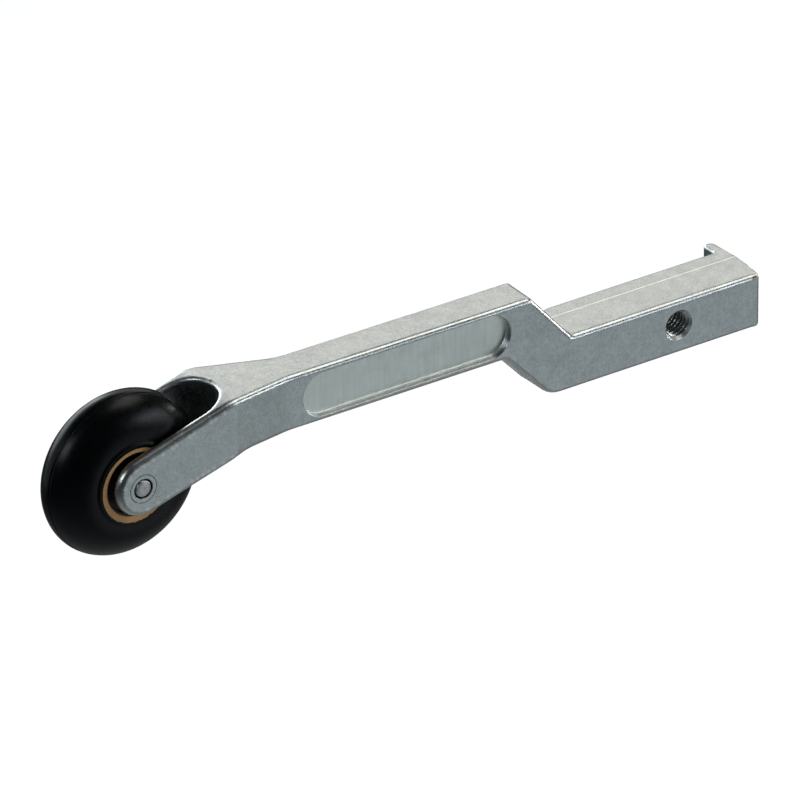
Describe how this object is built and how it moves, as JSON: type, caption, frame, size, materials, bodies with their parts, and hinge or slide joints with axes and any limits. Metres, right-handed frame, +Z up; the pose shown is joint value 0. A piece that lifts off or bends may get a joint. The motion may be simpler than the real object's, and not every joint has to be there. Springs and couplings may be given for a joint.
{
  "type": "roller arm",
  "caption": "Cast metal roller arm: fork with a rubber-tyred ball-bearing roller, pocketed arm, stepped shank with tapped cross hole and hook nose.",
  "frame": {"origin": "on the shank's flat seat (its back face), 6 mm below its top and 13.2 mm from the tapped hole's axis towards the roller", "axes": "+X along the shank to its free end, +Y out of the seat, away from the pocketed front; +Z up, the way the step lifts the arm"},
  "size_m": [0.1703, 0.0196, 0.0354],
  "materials": {
    "cast_zinc": "satin as-cast zinc alloy with a fine grain",
    "pin_steel": "turned",
    "bearing_steel": "ground",
    "tyre_rubber": "moulded, slightly glossy",
    "seal_rubber": "matt",
    "sleeve_bronze": "matt, turned",
    "cage_nylon": "matt"
  },
  "bodies": {
    "arm": {"arm_casting": "cast_zinc", "axle_pin": "pin_steel", "front_spacer": "pin_steel", "rear_spacer": "pin_steel", "front_bearing_inner_ring": "bearing_steel", "rear_bearing_inner_ring": "bearing_steel"},
    "roller": {"tyre": "tyre_rubber", "hub_sleeve": "sleeve_bronze", "front_bearing_outer_ring": "bearing_steel", "front_bearing_front_seal": "seal_rubber", "front_bearing_rear_seal": "seal_rubber", "rear_bearing_outer_ring": "bearing_steel", "rear_bearing_front_seal": "seal_rubber", "rear_bearing_rear_seal": "seal_rubber"},
    "front_ball_set": {"front_bearing_cage": "cage_nylon", "front_bearing_ball_1": "bearing_steel", "front_bearing_ball_2": "bearing_steel", "front_bearing_ball_3": "bearing_steel", "front_bearing_ball_4": "bearing_steel", "front_bearing_ball_5": "bearing_steel", "front_bearing_ball_6": "bearing_steel", "front_bearing_ball_7": "bearing_steel"},
    "rear_ball_set": {"rear_bearing_cage": "cage_nylon", "rear_bearing_ball_1": "bearing_steel", "rear_bearing_ball_2": "bearing_steel", "rear_bearing_ball_3": "bearing_steel", "rear_bearing_ball_4": "bearing_steel", "rear_bearing_ball_5": "bearing_steel", "rear_bearing_ball_6": "bearing_steel", "rear_bearing_ball_7": "bearing_steel"}
  },
  "joints": [
    {"name": "roller_spin", "type": "hinge", "parent": "arm", "child": "roller", "pos_m": [-0.1182, -0.0066, 0.0051], "axis": [0, 1, 0], "continuous": true},
    {"name": "front_ball_orbit", "type": "hinge", "parent": "arm", "child": "front_ball_set", "pos_m": [-0.1182, -0.0066, 0.0051], "axis": [0, 1, 0], "continuous": true},
    {"name": "rear_ball_orbit", "type": "hinge", "parent": "arm", "child": "rear_ball_set", "pos_m": [-0.1182, -0.0066, 0.0051], "axis": [0, 1, 0], "continuous": true}
  ],
  "couplings": [
    {"joint": "front_ball_orbit", "follows": "roller_spin", "ratio": 0.64},
    {"joint": "rear_ball_orbit", "follows": "roller_spin", "ratio": 0.64}
  ]
}
